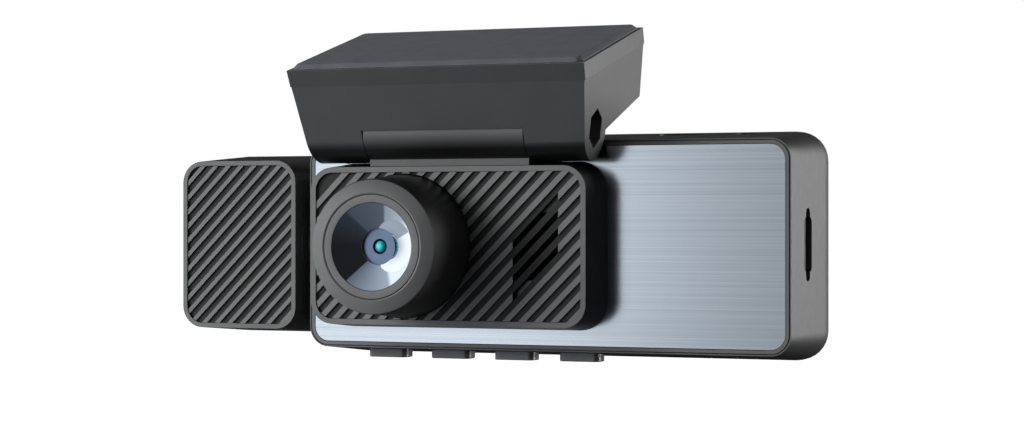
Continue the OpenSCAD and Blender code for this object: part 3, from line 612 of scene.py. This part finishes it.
def toward(azimuth, elevation, distance):
    """The point at a distance from the object, where azimuth 0 is in front of it and 90 on its right."""
    a, e = math.radians(azimuth), math.radians(elevation)
    return centre + Vector((math.sin(a) * math.cos(e), -math.cos(a) * math.cos(e), math.sin(e))) * distance


def softbox(name, azimuth, elevation, distance, width, tall, radiance, colour=(1, 1, 1), glossy=True):
    """A rectangular light of a given radiance, aimed at the object's middle."""
    light = bpy.data.lights.new(name, "AREA")
    light.shape = "RECTANGLE"
    light.size = width
    light.size_y = tall
    light.energy = radiance * math.pi * width * tall
    light.color = colour
    obj = bpy.data.objects.new(name, light)
    bpy.context.scene.collection.objects.link(obj)
    obj.location = toward(azimuth, elevation, distance)
    obj.rotation_euler = (centre - obj.location).to_track_quat("-Z", "Y").to_euler()
    return unseen(obj, camera=False, glossy=glossy)


FLOOR_Z = -0.16
FLOOR_REACH = 8
floor_corners = [(x * FLOOR_REACH, y * FLOOR_REACH, FLOOR_Z) for x, y in ((-1, -1), (1, -1), (1, 1), (-1, 1))]
floor = stage_mesh("floor", floor_corners, [range(4)], plain("floor_paint", 0.9, 1.0))
unseen(floor, diffuse=False, glossy=False)

softbox("key", -55, 15, 0.9, 0.4, 0.4, 21, glossy=False)
softbox("right_back", 122, 8, 0.8, 0.5, 0.6, 9)
softbox("upper_left", -48, 58, 0.8, 0.5, 0.5, 0.32, (0.85, 0.93, 1), glossy=False)
softbox("back", 205, 32, 0.9, 0.6, 0.4, 0.12)
softbox("back_fill", 200, 0, 0.9, 0.6, 0.6, 14, glossy=False)
softbox("left_fill", 262, 6, 0.9, 0.6, 0.6, 4, glossy=False)


def glowing(name):
    """A black card's material, which only gives out light."""
    s = Shader(name, 0.9)
    s.bsdf.inputs["Base Color"].default_value = grey(0)
    s.bsdf.inputs["Emission Strength"].default_value = 1.0
    return s


def gradient_card(name, azimuths, elevations, distance, stops, columns=16):
    """A card curved round the front of the object, whose glow changes along its width."""
    first, last = azimuths
    spots = [toward(first + (last - first) * k / columns, 0, distance) for k in range(columns + 1)]
    heights = [math.tan(math.radians(e)) * distance for e in elevations]
    s = glowing(name)
    across = s.share(s.axis("Object", "X"), spots[0].x, spots[-1].x)
    s.link(s.ramp(across, *stops), s.bsdf.inputs["Emission Color"])
    rim = [spot + Vector((0, 0, height)) for height in heights for spot in spots]
    faces = [(k, k + 1, k + columns + 2, k + columns + 1) for k in range(columns)]
    return unseen(stage_mesh(name, rim, faces, s.material), camera=False)


COLD = (0.97, 1.0, 1.03)
CARD_DISTANCE = 0.6
CARD_AZIMUTHS = (-62, 4)
left_levels = ((0, 1.15), (0.4, 1.12), (0.49, 1.12), (0.56, 1.1), (0.61, 0.92), (0.66, 0.66), (0.72, 0.5),
               (0.85, 0.35), (1, 0.1))
gradient_card("left_card", CARD_AZIMUTHS, (-10, 32), CARD_DISTANCE, [
    (place, tuple(c * level for c in COLD)) for place, level in left_levels])
gradient_card("low_card", CARD_AZIMUTHS, (-36, -10), CARD_DISTANCE, [
    (0, (0.38, 0.42, 0.46)), (0.6, (0.36, 0.4, 0.44)), (0.75, (0.2, 0.22, 0.24)), (1, (0.05, 0.05, 0.05))])

camera = bpy.data.objects.new("camera", bpy.data.cameras.new("camera"))
camera.data.sensor_width = 36
camera.data.lens = 80.6
camera.location = Vector((190.4, -443.5, -36.9)) * MM
camera.rotation_euler = (math.radians(90), 0, math.radians(22.08))
bpy.context.scene.collection.objects.link(camera)
bpy.context.scene.camera = camera


def cone_cards(stops, distance=0.55, half_width=0.07, columns=180):
    """A hoop of card all round what the polished cone mirrors, with stops of (turn in degrees, glow)."""
    toward_camera = (camera.location - lens_front).normalized()
    verts = []
    glows = []
    for k in range(columns + 1):
        turn = -180 + 360 * k / columns
        a = math.radians(turn)
        outward = Vector((math.cos(a), 0, math.sin(a)))
        normal = Vector((0, -1, 0)) * CONE_RUN - outward * CONE_DEPTH
        normal.normalize()
        mirrored = 2 * toward_camera.dot(normal) * normal - toward_camera
        side = mirrored.cross(normal.cross(outward)).normalized() * half_width
        spot = lens_front + mirrored * distance
        verts += [spot - side, spot + side]
        before, after = [(i, j) for i, j in zip(stops, stops[1:]) if i[0] <= turn <= j[0]][-1]
        share = (turn - before[0]) / (after[0] - before[0])
        glow = Vector(before[1]).lerp(Vector(after[1]), share)
        glows += [(*glow, 1)] * 2
    s = glowing("cone_card")
    painted = s.node("ShaderNodeVertexColor", layer_name="glow")
    s.link(painted.outputs["Color"], s.bsdf.inputs["Emission Color"])
    faces = [(k, k + 1, k + 3, k + 2) for k in range(0, 2 * columns, 2)]
    hoop = stage_mesh("cone_card", verts, faces, s.material)
    layer = hoop.data.color_attributes.new("glow", "FLOAT_COLOR", "POINT")
    for point, glow in zip(layer.data, glows):
        point.color = glow
    unseen(hoop, camera=False, diffuse=False)


BLACK = (0.003, 0.004, 0.005)
cone_cards([
    (-180, BLACK), (-130, BLACK),
    (-129, (0.085, 0.12, 0.155)), (-64, (0.37, 0.43, 0.51)),
    (-58, (0.85, 0.95, 1.04)), (22, (0.95, 1.05, 1.12)),
    (38, (0.42, 0.47, 0.52)), (69, (0.26, 0.3, 0.35)),
    (72, (0.08, 0.098, 0.118)), (127, (0.045, 0.06, 0.078)),
    (129, (0.018, 0.025, 0.034)), (178, BLACK), (180, BLACK)])


def studio(seen, lit):
    """A white surround, with one strength where the camera sees it and another as a light."""
    world = bpy.data.worlds.new("studio")
    world.use_nodes = True
    tree = world.node_tree
    background = tree.nodes["Background"]
    background.inputs["Color"].default_value = grey(1)
    ray = tree.nodes.new("ShaderNodeLightPath")
    level = tree.nodes.new("ShaderNodeMapRange")
    tree.links.new(ray.outputs["Is Camera Ray"], level.inputs["Value"])
    level.inputs["To Min"].default_value = lit
    level.inputs["To Max"].default_value = seen
    tree.links.new(level.outputs["Result"], background.inputs["Strength"])
    return world


bpy.context.scene.world = studio(seen=1.0, lit=0.02)
bpy.context.scene.view_settings.view_transform = "Standard"
